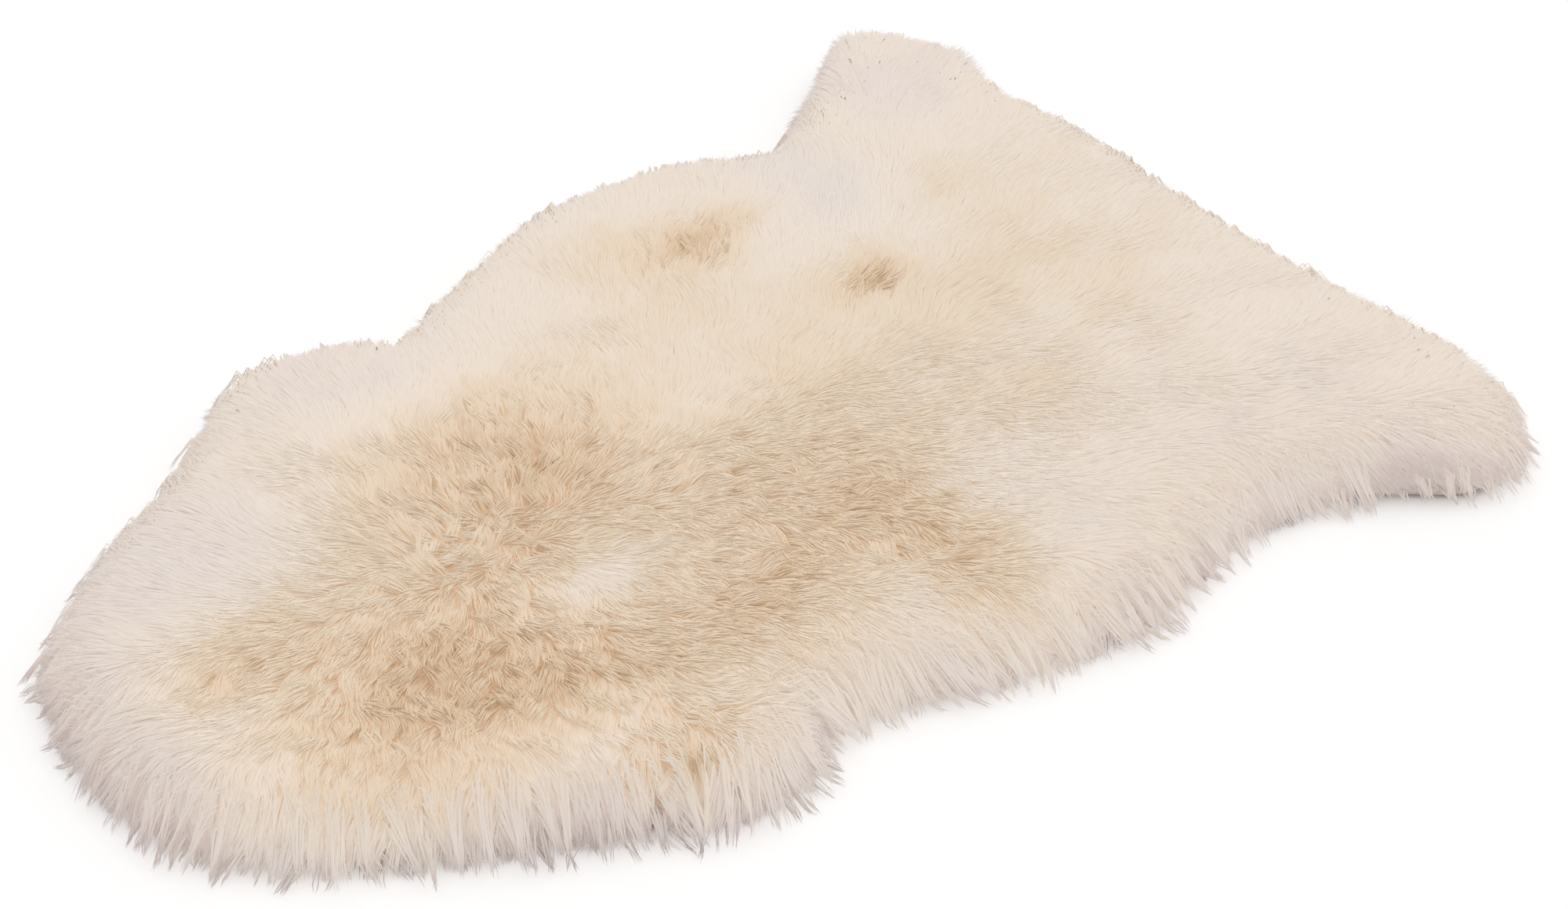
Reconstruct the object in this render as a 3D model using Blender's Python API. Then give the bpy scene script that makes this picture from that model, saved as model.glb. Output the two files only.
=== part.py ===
"""Sheepskin rug: one tanned pelt lying flat on the floor, wool side up.

The pelt is a single closed solid that reaches as far as its wool does. It rests on a flat underside
at z = 0, its spine runs along X from the neck (-X) to the rump (+X), and its left side faces +Y.
Lengths are in metres.
"""

import math
from collections import namedtuple

import bmesh
import bpy
import numpy as np

# Driving dimensions of the pelt, measured over the wool.
PELT_LENGTH = 0.930
PELT_WIDTH = 0.695
WOOL_HEIGHT = 0.050  # top of the wool over the floor, before its swells and hollows

# The rim: the wool hangs over the edge of the skin, widest a little above the floor, and rounds up to
# the top.
RIM_HEIGHT = 0.014  # where the rim is widest
RIM_UNDERCUT = 0.016  # how far the rim draws in below that, down to the floor
RIM_REACH = 0.062  # how far in from the rim the wool gets to its full height
RIM_ROUNDNESS = 2.3  # 2 is an elliptical rim, and more is a squarer one

# The spine, towards which every section of the pelt runs in.
SPINE_NECK = -0.215
SPINE_RUMP = 0.235
SPINE_SLIT = 0.05  # the last ring stops at this share of the way from the spine out to the rim

STEPS_BETWEEN_LANDMARKS = 6
RIM_RINGS = 8
RIM_CROWDING = 1.8  # over 1 crowds these rings towards the widest one, where the rim bends most
BODY_RINGS = 9
UNDERCUT_RINGS = 2

WOOL_COLOUR = (0.80, 0.68, 0.54, 1.0)
WOOL_ROUGHNESS = 0.95

# Places round the edge of the wool, anticlockwise from the rump: how far each lies along the spine from
# the middle of the pelt, as a share of its length, and how far across from the spine, as a share of its
# width.
Landmark = namedtuple("Landmark", "place along across")
EDGE = (
    Landmark("rump", 0.500, 0.010),
    Landmark("rump, left half", 0.499, 0.195),
    Landmark("rump, left dip", 0.485, 0.312),
    Landmark("left hind leg, back", 0.495, 0.400),
    Landmark("left hind leg, tip", 0.445, 0.497),
    Landmark("left hind leg, front", 0.365, 0.430),
    Landmark("left hind hollow", 0.265, 0.372),
    Landmark("left flank, back", 0.185, 0.426),
    Landmark("left flank", 0.080, 0.440),
    Landmark("left flank, front", -0.010, 0.400),
    Landmark("left fore hollow", -0.105, 0.355),
    Landmark("left foreleg, back", -0.150, 0.392),
    Landmark("left foreleg, tip", -0.215, 0.400),
    Landmark("left foreleg, front", -0.300, 0.320),
    Landmark("left shoulder", -0.402, 0.250),
    Landmark("left of the neck", -0.482, 0.153),
    Landmark("neck", -0.502, 0.000),
    Landmark("right of the neck", -0.478, -0.120),
    Landmark("right shoulder", -0.400, -0.220),
    Landmark("right foreleg, front", -0.290, -0.305),
    Landmark("right foreleg, tip", -0.210, -0.365),
    Landmark("right foreleg, back", -0.145, -0.375),
    Landmark("right fore hollow", -0.095, -0.340),
    Landmark("right flank, front", 0.005, -0.388),
    Landmark("right flank", 0.115, -0.421),
    Landmark("right hind hollow", 0.240, -0.396),
    Landmark("right hind leg, front", 0.340, -0.430),
    Landmark("right hind leg, tip", 0.420, -0.503),
    Landmark("right hind leg, back", 0.488, -0.437),
    Landmark("rump, right half", 0.494, -0.215),
)

# Swells and hollows in the top of the wool: the middle of each along and across the pelt, how far it
# spreads each way, and how much it raises or lowers the wool.
Swell = namedtuple("Swell", "place along across spread_along spread_across rise")
SWELLS = (
    Swell("combed ridge over the left loin", 0.200, 0.130, 0.070, 0.080, 0.004),
    Swell("parting below that ridge", 0.150, 0.035, 0.050, 0.030, -0.005),
    Swell("parting in the left flank", 0.095, 0.165, 0.070, 0.030, -0.004),
    Swell("hollow along the back", -0.070, -0.020, 0.110, 0.035, -0.004),
    Swell("parting in the right flank", 0.015, -0.205, 0.035, 0.070, -0.004),
    Swell("swell over the left foreleg", -0.210, 0.150, 0.080, 0.060, 0.003),
    Swell("hollow across the neck", -0.340, -0.060, 0.090, 0.060, -0.004),
    Swell("swell at the end of the neck", -0.420, -0.010, 0.030, 0.060, 0.002),
    Swell("swell over the right foreleg", -0.180, -0.180, 0.050, 0.040, 0.003),
    Swell("flattened wool over the rump", 0.330, -0.060, 0.110, 0.150, -0.004),
)


def clear_scene():
    for thing in list(bpy.data.objects):
        bpy.data.objects.remove(thing, do_unlink=True)


def closed_curve(points, steps):
    """A smooth closed curve through the points (Catmull-Rom), with this many steps from each to the next."""
    before = np.roll(points, 1, axis=0)
    after = np.roll(points, -1, axis=0)
    beyond = np.roll(points, -2, axis=0)
    stretches = []
    for step in range(steps):
        t = step / steps
        stretches.append(
            points
            + t * (after - before) / 2
            + t**2 * (2 * before - 5 * points + 4 * after - beyond) / 2
            + t**3 * (3 * points - before - 3 * after + beyond) / 2
        )
    return np.stack(stretches, axis=1).reshape(-1, 2)


def wool_edge():
    """The edge of the wool seen from above, stretched to the pelt's length and width."""
    points = np.array([(mark.along * PELT_LENGTH, mark.across * PELT_WIDTH) for mark in EDGE])
    edge = closed_curve(points, STEPS_BETWEEN_LANDMARKS)
    lowest = edge.min(axis=0)
    span = np.ptp(edge, axis=0)
    return ((edge - lowest) / span - 0.5) * (PELT_LENGTH, PELT_WIDTH)


def spine_foot(points):
    """The nearest point of the spine to each point."""
    along = np.clip(points[:, 0], SPINE_NECK, SPINE_RUMP)
    return np.stack([along, np.zeros_like(along)], axis=1)


def wool_top(points):
    """How high the wool stands in the body of the pelt: its height, with each swell as a bell-shaped rise."""
    height = np.full(len(points), WOOL_HEIGHT)
    for swell in SWELLS:
        along = (points[:, 0] - swell.along) / swell.spread_along
        across = (points[:, 1] - swell.across) / swell.spread_across
        height += swell.rise * np.exp(-(along**2) - across**2)
    return height


def rim_share(inset):
    """The share of the full height at a distance in from the rim, a quarter of a superellipse."""
    left = 1 - np.clip(inset / RIM_REACH, 0, 1)
    return (1 - left**RIM_ROUNDNESS) ** (1 / RIM_ROUNDNESS)


def pelt_rings():
    """The pelt's sections: rings from the edge of the underside, round the rim and in to the spine."""
    edge = wool_edge()
    foot = spine_foot(edge)
    inward = foot - edge
    reach = np.linalg.norm(inward, axis=1)
    inward /= reach[:, None]
    rings = []
    for ring in range(UNDERCUT_RINGS):
        turn = math.pi / 2 * ring / UNDERCUT_RINGS
        inset = RIM_UNDERCUT * (1 - math.sin(turn))
        height = RIM_HEIGHT * (1 - math.cos(turn))
        rings.append(np.column_stack([edge + inset * inward, np.full(len(edge), height)]))
    insets = []
    for ring in range(RIM_RINGS):
        share = (ring / RIM_RINGS) ** RIM_CROWDING
        insets.append(np.full(len(edge), RIM_REACH * share))
    for ring in range(BODY_RINGS + 1):
        share = ring / BODY_RINGS
        insets.append(RIM_REACH + share * (reach * (1 - SPINE_SLIT) - RIM_REACH))
    for inset in insets:
        points = edge + inset[:, None] * inward
        height = RIM_HEIGHT + (wool_top(points) - RIM_HEIGHT) * rim_share(inset)
        rings.append(np.column_stack([points, height]))
    return rings


def lofted(name, rings):
    """A closed mesh through the rings, with a face across the first and a strip of faces across the last."""
    shape = bmesh.new()
    loops = [[shape.verts.new(point) for point in ring] for ring in rings]
    count = len(loops[0])
    shape.faces.new(reversed(loops[0]))
    for lower, upper in zip(loops, loops[1:]):
        for here in range(count):
            there = (here + 1) % count
            shape.faces.new((lower[here], lower[there], upper[there], upper[here]))
    bmesh.ops.triangulate(shape, faces=[shape.faces.new(loops[-1])])
    bmesh.ops.recalc_face_normals(shape, faces=shape.faces)
    mesh = bpy.data.meshes.new(name)
    shape.to_mesh(mesh)
    shape.free()
    mesh.shade_smooth()
    return mesh


def wool_material():
    material = bpy.data.materials.new("cream wool")
    material.use_nodes = True
    shader = material.node_tree.nodes["Principled BSDF"]
    shader.inputs["Base Color"].default_value = WOOL_COLOUR
    shader.inputs["Roughness"].default_value = WOOL_ROUGHNESS
    shader.inputs["Metallic"].default_value = 0.0
    return material


def build_sheepskin(collection):
    mesh = lofted("sheepskin", pelt_rings())
    mesh.materials.append(wool_material())
    sheepskin = bpy.data.objects.new("sheepskin", mesh)
    collection.objects.link(sheepskin)


def main():
    clear_scene()
    collection = bpy.data.collections.new("sheepskin rug")
    bpy.context.scene.collection.children.link(collection)
    build_sheepskin(collection)


main()
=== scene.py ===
"""Sheepskin rug: the looks of one whole pelt, built round its CAD solid.

The bare skin lies flat on the floor. A close mat of wool covers it. Locks of finer wool grow out of the mat
and lie outwards over the back, and wisps of the longest wool hang over its edge all round.
"""

import math
from collections import namedtuple

import bpy
import numpy as np
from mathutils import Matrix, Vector


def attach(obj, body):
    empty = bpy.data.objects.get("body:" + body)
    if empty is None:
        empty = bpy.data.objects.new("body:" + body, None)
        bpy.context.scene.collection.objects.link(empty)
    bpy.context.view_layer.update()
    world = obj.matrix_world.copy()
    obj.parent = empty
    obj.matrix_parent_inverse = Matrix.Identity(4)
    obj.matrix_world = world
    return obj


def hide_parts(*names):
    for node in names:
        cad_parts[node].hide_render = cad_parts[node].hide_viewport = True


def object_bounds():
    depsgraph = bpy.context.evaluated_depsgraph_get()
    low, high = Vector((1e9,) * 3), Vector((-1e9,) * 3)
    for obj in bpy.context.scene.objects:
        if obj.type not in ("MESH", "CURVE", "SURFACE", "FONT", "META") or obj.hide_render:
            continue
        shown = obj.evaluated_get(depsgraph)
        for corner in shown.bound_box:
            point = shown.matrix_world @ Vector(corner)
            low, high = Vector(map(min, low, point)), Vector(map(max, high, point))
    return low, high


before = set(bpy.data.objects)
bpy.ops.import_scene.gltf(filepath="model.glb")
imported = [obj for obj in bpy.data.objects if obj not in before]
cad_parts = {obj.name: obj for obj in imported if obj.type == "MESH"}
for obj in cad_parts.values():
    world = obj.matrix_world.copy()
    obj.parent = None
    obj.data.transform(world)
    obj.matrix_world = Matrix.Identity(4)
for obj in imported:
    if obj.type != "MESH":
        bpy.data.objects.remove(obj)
cad_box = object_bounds()


# ------------------------------------------------------------------------------
# The camera. A long lens looks down across the pelt from beside its neck, so that the spine runs away
# towards the upper right.

CAMERA_AZIMUTH = math.radians(-40.3)  # 0 looks along +Y, towards the pelt's left
CAMERA_ELEVATION = math.radians(39.0)
CAMERA_DISTANCE = 2.041
CAMERA_AIM = Vector((0.058, -0.002, 0.0))
CAMERA_LENS_MM = 70.0

camera_data = bpy.data.cameras.new("camera")
camera_data.lens = CAMERA_LENS_MM
camera = bpy.data.objects.new("camera", camera_data)
bpy.context.scene.collection.objects.link(camera)
towards_camera = Vector((
    math.sin(CAMERA_AZIMUTH) * math.cos(CAMERA_ELEVATION),
    -math.cos(CAMERA_AZIMUTH) * math.cos(CAMERA_ELEVATION),
    math.sin(CAMERA_ELEVATION),
))
camera.location = CAMERA_AIM + towards_camera * CAMERA_DISTANCE
camera.rotation_mode = "QUATERNION"
camera.rotation_quaternion = (-towards_camera).to_track_quat("-Z", "Y")
bpy.context.scene.camera = camera


# ------------------------------------------------------------------------------
# The skin: the tanned hide itself, about 2 mm of soft leather with a suede underside. It is trimmed a little
# inside the reach of its wool and lies flat on the floor.

SKIN_THICKNESS = 0.0018
SKIN_TRIM = 0.030  # how far the skin's cut edge lies inside the edge of the wool
SKIN_ROUND = 240  # points round the skin
SKIN_RINGS = 10  # rings of points on its upper face, and as many on its lower one
SKIN_CROWDING = 0.7  # under 1 crowds those rings towards the cut edge
SPINE_FROM_NECK = 0.27  # where the spine line starts and ends, as shares of the pelt's length
SPINE_TO_RUMP = 0.753
SPINE_SLIT = 0.010  # sheets are laced shut across the spine from this far off it
SAME_PLACE = 6  # decimals of a metre to which corners of the solid are the same one
SAME_HEIGHT = 2e-5  # points of one ring of the solid are level to this
SUEDE_STOPS = ((0.30, (0.50, 0.38, 0.26)), (0.50, (0.66, 0.53, 0.39)), (0.70, (0.76, 0.65, 0.51)))

low, high = (np.array(corner) for corner in cad_box)
spine_neck = low[0] + SPINE_FROM_NECK * (high[0] - low[0])
spine_rump = low[0] + SPINE_TO_RUMP * (high[0] - low[0])


def spine_foot(points):
    """The nearest point of the spine to each point: its X held between the spine's ends, and no Y."""
    return np.stack([np.clip(points[:, 0], spine_neck, spine_rump), np.zeros(len(points))], axis=1)


def point_vectors(mesh, kind):
    """One vector a point of a mesh, as an array: its place for "co", or its way out for "normal"."""
    values = np.empty(len(mesh.vertices) * 3, np.float32)
    mesh.vertices.foreach_get(kind, values)
    return values.reshape(-1, 3).astype(float)


def wool_edge(node):
    """The widest ring of the CAD solid, in order round the pelt from the neck by its right side.

    The ring is every corner level with the one furthest along X. A point's place in the order is its bearing
    from the spine, plus how far its foot lies along the spine.
    """
    corners = np.unique(np.round(point_vectors(node.data, "co"), SAME_PLACE), axis=0)
    widest = corners[np.argmax(corners[:, 0])]
    ring = corners[np.abs(corners[:, 2] - widest[2]) < SAME_HEIGHT][:, :2]
    foot = spine_foot(ring)
    bearing = np.arctan2(ring[:, 1], ring[:, 0] - foot[:, 0])
    place = bearing + np.sign(ring[:, 1]) * (spine_rump - foot[:, 0]) / (high[1] - low[1])
    return ring[np.argsort(place)]


def resampled(ring, count):
    """The same closed line with another number of points: its Fourier waves, read at that many places."""
    return np.fft.irfft(np.fft.rfft(ring, axis=0), count, axis=0) * count / len(ring)


def towards_spine(edge):
    """The unit direction from each point of a closed line to the spine, and how far off the spine is."""
    inward = spine_foot(edge) - edge
    reach = np.linalg.norm(inward, axis=1)
    return inward / reach[:, None], reach


def fill_mesh(mesh, points, faces):
    """Puts an array of points and an array of faces, all with as many corners, into a mesh."""
    count, corners = faces.shape
    mesh.vertices.add(len(points))
    mesh.vertices.foreach_set("co", np.ascontiguousarray(points, np.float32).ravel())
    mesh.loops.add(count * corners)
    mesh.loops.foreach_set("vertex_index", np.ascontiguousarray(faces, np.int32).ravel())
    mesh.polygons.add(count)
    mesh.polygons.foreach_set("loop_start", np.arange(0, count * corners, corners, dtype=np.int32))
    mesh.polygons.foreach_set("use_smooth", np.ones(count, bool))
    mesh.update(calc_edges=True)


def laced_shell(name, rings):
    """A closed mesh through rings of points, as a grid of quads round and along.

    rings is an array of ring by point by XYZ. The first and the last ring are narrow slits along the spine,
    and each is laced shut by quads from every point to its opposite number.
    """
    count_rings, count = rings.shape[:2]
    here = np.arange(count)
    there = (here + 1) % count
    start = np.arange(count_rings - 1)[:, None] * count
    sides = np.stack([start + here, start + there, start + count + there, start + count + here], axis=-1)
    row = np.arange(count // 2 - 1)
    lace = np.stack([row + 1, row, count - 1 - row, count - 2 - row], axis=-1)
    last = (count_rings - 1) * count
    quads = np.concatenate([sides.reshape(-1, 4), lace, lace[:, ::-1] + last])
    mesh = bpy.data.meshes.new(name)
    fill_mesh(mesh, rings.reshape(-1, 3), quads)
    return mesh


def new_piece(mesh, slot_name, *materials):
    """An object for a finished mesh, riding on the pelt's one body, with its materials."""
    for material in materials:
        mesh.materials.append(material)
    piece = bpy.data.objects.new(mesh.name, mesh)
    bpy.context.scene.collection.objects.link(piece)
    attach(piece, "root")
    return piece


def new_material(name, roughness):
    """A material with its Principled BSDF and the node tree that feeds it."""
    material = bpy.data.materials.new(name)
    material.use_nodes = True
    tree = material.node_tree
    shader = tree.nodes["Principled BSDF"]
    shader.inputs["Roughness"].default_value = roughness
    return material, tree, shader


def colour_ramp(tree, factor, stops):
    """A colour ramp over a factor, through (place, colour) stops."""
    ramp = tree.nodes.new("ShaderNodeValToRGB")
    ramp.color_ramp.interpolation = "EASE"
    elements = ramp.color_ramp.elements
    elements[0].position, elements[0].color = stops[0][0], (*stops[0][1], 1.0)
    elements[1].position, elements[1].color = stops[-1][0], (*stops[-1][1], 1.0)
    for place, colour in stops[1:-1]:
        elements.new(place).color = (*colour, 1.0)
    tree.links.new(factor, ramp.inputs["Fac"])
    return ramp.outputs["Color"]


def skin_rings(edge):
    """The skin's sections: under the skin from the spine out to the cut edge, and back over it.

    A ring's points are all at one share of the way from the cut edge in to the slit.
    """
    inward, reach = towards_spine(edge)
    out = 1 - np.linspace(0, 1, SKIN_RINGS) ** SKIN_CROWDING
    shares = np.concatenate([out, out[::-1]])
    heights = np.repeat([0.0, SKIN_THICKNESS], SKIN_RINGS)
    inset = SKIN_TRIM + shares[:, None] * (reach - SPINE_SLIT - SKIN_TRIM)
    points = edge + inset[:, :, None] * inward
    return np.dstack([points, np.broadcast_to(heights[:, None], inset.shape)])


def noise(tree, scale, detail):
    """Cloudy noise over the piece's own coordinates, of this many clouds a metre."""
    clouds = tree.nodes.new("ShaderNodeTexNoise")
    clouds.inputs["Scale"].default_value = scale
    clouds.inputs["Detail"].default_value = detail
    place = tree.nodes.new("ShaderNodeTexCoord")
    tree.links.new(place.outputs["Object"], clouds.inputs["Vector"])
    return clouds.outputs["Fac"]


def add_bump(tree, shader, height, strength, distance):
    """Joins a height to the shader's Normal."""
    bump = tree.nodes.new("ShaderNodeBump")
    bump.inputs["Strength"].default_value = strength
    bump.inputs["Distance"].default_value = distance
    tree.links.new(height, bump.inputs["Height"])
    tree.links.new(bump.outputs["Normal"], shader.inputs["Normal"])


def suede_material():
    """Tanned suede: a warm buff mottled in several sizes, with a short nap in its bump."""
    material, tree, shader = new_material("suede", roughness=0.92)
    mottle = noise(tree, scale=14.0, detail=6.0)
    tree.links.new(colour_ramp(tree, mottle, SUEDE_STOPS), shader.inputs["Base Color"])
    add_bump(tree, shader, noise(tree, scale=900.0, detail=2.0), strength=0.4, distance=0.0006)
    shader.inputs["Sheen Weight"].default_value = 0.25
    return material


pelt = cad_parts["sheepskin"]
edge_of_wool = wool_edge(pelt)
skin_line = resampled(edge_of_wool, SKIN_ROUND)
skin_points = skin_rings(skin_line)
skin = new_piece(laced_shell("skin", skin_points), "skin", suede_material())


# ------------------------------------------------------------------------------
# The mat: the close wool next to the skin, too dense to see into. Its form follows the top of the CAD solid
# at the depth where the locks leave it, and it is lumpy where the wool is tufted.

MAP_STEP = 0.005  # spacing of the maps below
MAP_MARGIN = 0.090  # how far the maps go past the pelt
PROBE_HEIGHT = 0.2  # where points are dropped from
EDGE_POINTS = 1080  # points of the wool's edge that distances are measured to
DISTANCE_BLOCKS = 40  # into how many blocks that work is divided
MAP_BLURS = 160  # how often the inset map is blurred before its slope gives the lie of the wool
LIE_TO_RUMP = 0.75  # how much the wool behind the crown lies towards the rump, besides outwards
CROWN_START = -0.24  # along the pelt, where the wool begins to lie towards the rump
CROWN_END = -0.06  # and where it does so in full
FULL_LIE = 0.7  # where the two come to less than this, the wool stands up more
WAVES = 12  # plane waves in a random pattern
WAVE_SPREAD = (0.7, 1.4)  # their lengths, as shares of the pattern's size

MAT_ROUND = 560  # points round the mat
MAT_RINGS = 44  # rings of points on its top
MAT_CROWDING = 1.35  # over 1 crowds those rings towards the rim
MAT_ROLL = 0.006  # from the mat's own edge in to where its underside meets the skin
MAT_TRIM = 0.017  # from the edge of the wool in to the mat's own edge
MAT_LOW = 0.007  # height of the mat's widest ring
MAT_RIM = 0.046  # how far in the mat gets to its full height
LOCK_ROOM = 0.0050  # the locks' share of the wool's height
FULL_HEIGHT_INSET = 0.068  # past this the solid is at its full height
FULL_HEIGHT_REACH = 0.9  # on a narrow neck or leg, so is this share of the way to the spine
MAT_LUMPS = ((0.026, 0.0010), (0.011, 0.0010))  # size and height of its lumps
SMOOTH_LUMPS = 0.12  # share of that height in smooth wool
TUFTED_LUMPS = 1.3  # and how much more in loose tufts
MAT_RIM_SHADE = 0.35  # how much less warm the mat is painted at its rim, as shade
SMOOTH_PALENESS = 0.90  # how near the colour of the tips the mat is, in smooth wool
TUFTED_PALENESS = 0.35  # and where it shows between loose tufts, with more of the foot's painted shade

# Patches of the fleece. Each has its middle and its spread along and across the pelt, how much warmer (more
# tan) its wool is than the rest, and how much more it stands in loose tufts.
Patch = namedtuple("Patch", "place along across spread_along spread_across warmth tuft")
PATCHES = (
    Patch("back behind the shoulders", -0.130, 0.050, 0.105, 0.085, 0.39, 0.60),
    Patch("right shoulder", -0.275, -0.075, 0.100, 0.080, 0.40, 0.55),
    Patch("right flank in front", -0.100, -0.140, 0.110, 0.055, 0.30, 0.40),
    Patch("middle of the back", -0.010, -0.060, 0.080, 0.070, 0.22, 0.40),
    Patch("parting in the right flank", 0.040, -0.170, 0.034, 0.080, 0.30, 0.35),
    Patch("right of the back", 0.110, -0.095, 0.130, 0.060, 0.08, 0.10),
    Patch("elbow swirl", -0.200, -0.205, 0.045, 0.022, 0.24, 0.70),
    Patch("nape", -0.370, 0.015, 0.055, 0.035, 0.22, 0.25),
    Patch("parting in the left flank", 0.125, 0.170, 0.045, 0.028, 0.34, 0.45),
    Patch("left flank front", 0.060, 0.195, 0.050, 0.035, 0.14, 0.15),
    Patch("parting below the left loin", 0.182, 0.058, 0.030, 0.018, 0.30, 0.45),
    Patch("middle of the loin", 0.220, 0.020, 0.150, 0.080, 0.19, 0.00),
    Patch("left of the back", 0.060, 0.120, 0.080, 0.050, 0.18, 0.10),
    Patch("right of the rump", 0.330, -0.060, 0.090, 0.060, 0.08, 0.00),
    Patch("left of the rump", 0.400, 0.170, 0.040, 0.040, 0.08, 0.00),
    Patch("left shoulder band", -0.340, 0.105, 0.080, 0.060, -0.20, -0.10),
    Patch("left foreleg", -0.150, 0.190, 0.080, 0.050, -0.14, 0.00),
    Patch("left loin, combed over", 0.230, 0.160, 0.050, 0.075, -0.14, -0.10),
    Patch("left hind leg", 0.370, 0.245, 0.055, 0.050, -0.15, 0.00),
    # Painted highlight: the next patch is paler for the soft highlight on its smooth wool.
    Patch("bright tuft on the back", -0.145, -0.055, 0.028, 0.020, -0.15, -0.40),
    Patch("end of the neck", -0.420, 0.000, 0.030, 0.060, -0.24, -0.10),
    Patch("right hind leg", 0.370, -0.290, 0.060, 0.045, -0.02, 0.00),
    Patch("right hind flank", 0.105, -0.225, 0.035, 0.060, -0.06, 0.00),
    Patch("right loin", 0.300, -0.200, 0.110, 0.060, -0.04, 0.00),
    # Painted shade: the next patch is greyer where the wool turns down, away from the light.
    Patch("below the right shoulder", -0.290, -0.235, 0.090, 0.060, -0.32, 0.00),
    Patch("left of the middle loin", 0.310, 0.090, 0.060, 0.050, 0.13, 0.00),
    Patch("between back and loin", 0.100, 0.000, 0.060, 0.050, 0.14, 0.08),
    Patch("right of the crown", -0.200, -0.100, 0.050, 0.040, 0.10, 0.15),
    Patch("foot of the neck", -0.300, 0.010, 0.050, 0.040, 0.10, 0.12),
    Patch("right of the middle loin", 0.200, -0.100, 0.050, 0.050, 0.06, 0.00),
    Patch("rusty curl at the elbow", -0.195, -0.213, 0.009, 0.006, 0.45, 0.30),
)
PLAIN_WARMTH = 0.40
PLAIN_TUFT = 0.09

map_x = np.arange(low[0] - MAP_MARGIN, high[0] + MAP_MARGIN, MAP_STEP)
map_y = np.arange(low[1] - MAP_MARGIN, high[1] + MAP_MARGIN, MAP_STEP)
map_points = np.stack(np.meshgrid(map_x, map_y), axis=-1).reshape(-1, 2)


def dropped_onto(node, points):
    """The height at which each point, dropped from PROBE_HEIGHT, lands on the node, or that if it misses."""
    mesh = bpy.data.meshes.new("probe")
    mesh.vertices.add(len(points))
    start = np.column_stack([points, np.full(len(points), PROBE_HEIGHT)])
    mesh.vertices.foreach_set("co", start.astype(np.float32).ravel())
    probe = bpy.data.objects.new("probe", mesh)
    bpy.context.scene.collection.objects.link(probe)
    wrap = probe.modifiers.new("drop", "SHRINKWRAP")
    wrap.wrap_method = "PROJECT"
    wrap.target = node
    wrap.use_project_z = True
    wrap.use_negative_direction = True
    wrap.use_positive_direction = False
    landed = probe.evaluated_get(bpy.context.evaluated_depsgraph_get()).data
    height = point_vectors(landed, "co")[:, 2]
    bpy.data.objects.remove(probe)
    bpy.data.meshes.remove(mesh)
    return height


def distance_to(line, points):
    """How far each point lies from the nearest point of a closed line, a block of points at a time."""
    blocks = np.array_split(points, DISTANCE_BLOCKS)
    return np.concatenate([
        np.sqrt(((block[:, None, :] - line[None]) ** 2).sum(axis=2).min(axis=1)) for block in blocks
    ])


def blurred(values, times):
    """A map averaged with its four neighbours, this many times."""
    for _ in range(times):
        total = values
        for step, axis in ((1, 0), (-1, 0), (1, 1), (-1, 1)):
            total = total + np.roll(values, step, axis)
        values = total / 5
    return values


def read_map(values, points):
    """A map's value at each point, weighed between the four values round it."""
    along = np.clip((points[:, 0] - map_x[0]) / MAP_STEP, 0, len(map_x) - 1.001)
    across = np.clip((points[:, 1] - map_y[0]) / MAP_STEP, 0, len(map_y) - 1.001)
    column, row = along.astype(int), across.astype(int)
    right, up = along - column, across - row
    lower = values[row, column] * (1 - right) + values[row, column + 1] * right
    upper = values[row + 1, column] * (1 - right) + values[row + 1, column + 1] * right
    return lower * (1 - up) + upper * up


def waves(points, size, seed):
    """A soft random pattern about 0: the sum of plane waves of about this length, running every way."""
    draw = np.random.default_rng(seed)
    heading = draw.uniform(0, 2 * np.pi, WAVES)
    number = 2 * np.pi / (size * draw.uniform(*WAVE_SPREAD, WAVES))
    phase = draw.uniform(0, 2 * np.pi, WAVES)
    across = points[:, :1] * np.cos(heading) + points[:, 1:2] * np.sin(heading)
    return np.sin(across * number + phase).sum(axis=1) / math.sqrt(WAVES)


def patch_value(points, column, plain):
    """One column of PATCHES at each point: the plain value plus every patch as a bell-shaped bump."""
    value = np.full(len(points), plain)
    for patch in PATCHES:
        along = (points[:, 0] - patch.along) / patch.spread_along
        across = (points[:, 1] - patch.across) / patch.spread_across
        value += getattr(patch, column) * np.exp(-(along**2) - across**2)
    return value


top = dropped_onto(pelt, map_points)
inside = top < PROBE_HEIGHT / 2
inset = distance_to(resampled(edge_of_wool, EDGE_POINTS), map_points) * np.where(inside, 1, -1)
map_shape = (len(map_y), len(map_x))
top_map = np.where(inside, top, 0.0).reshape(map_shape)
inset_map = inset.reshape(map_shape)
slope_y, slope_x = np.gradient(blurred(inset_map, MAP_BLURS), MAP_STEP)
behind_crown = np.clip((map_x - CROWN_START) / (CROWN_END - CROWN_START), 0, 1)
lie_x_map = -slope_x + LIE_TO_RUMP * np.clip(inset_map / FULL_HEIGHT_INSET, 0, 1) * behind_crown
lie_y_map = -slope_y
lie_strength = np.maximum(np.hypot(lie_x_map, lie_y_map), FULL_LIE)
lie_x_map, lie_y_map = lie_x_map / lie_strength, lie_y_map / lie_strength


def rounded(share):
    """How high a woolly rim stands at a share of the way in to its full height, as a quarter ellipse."""
    return np.sqrt(1 - (1 - np.clip(share, 0, 1)) ** 2)


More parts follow.
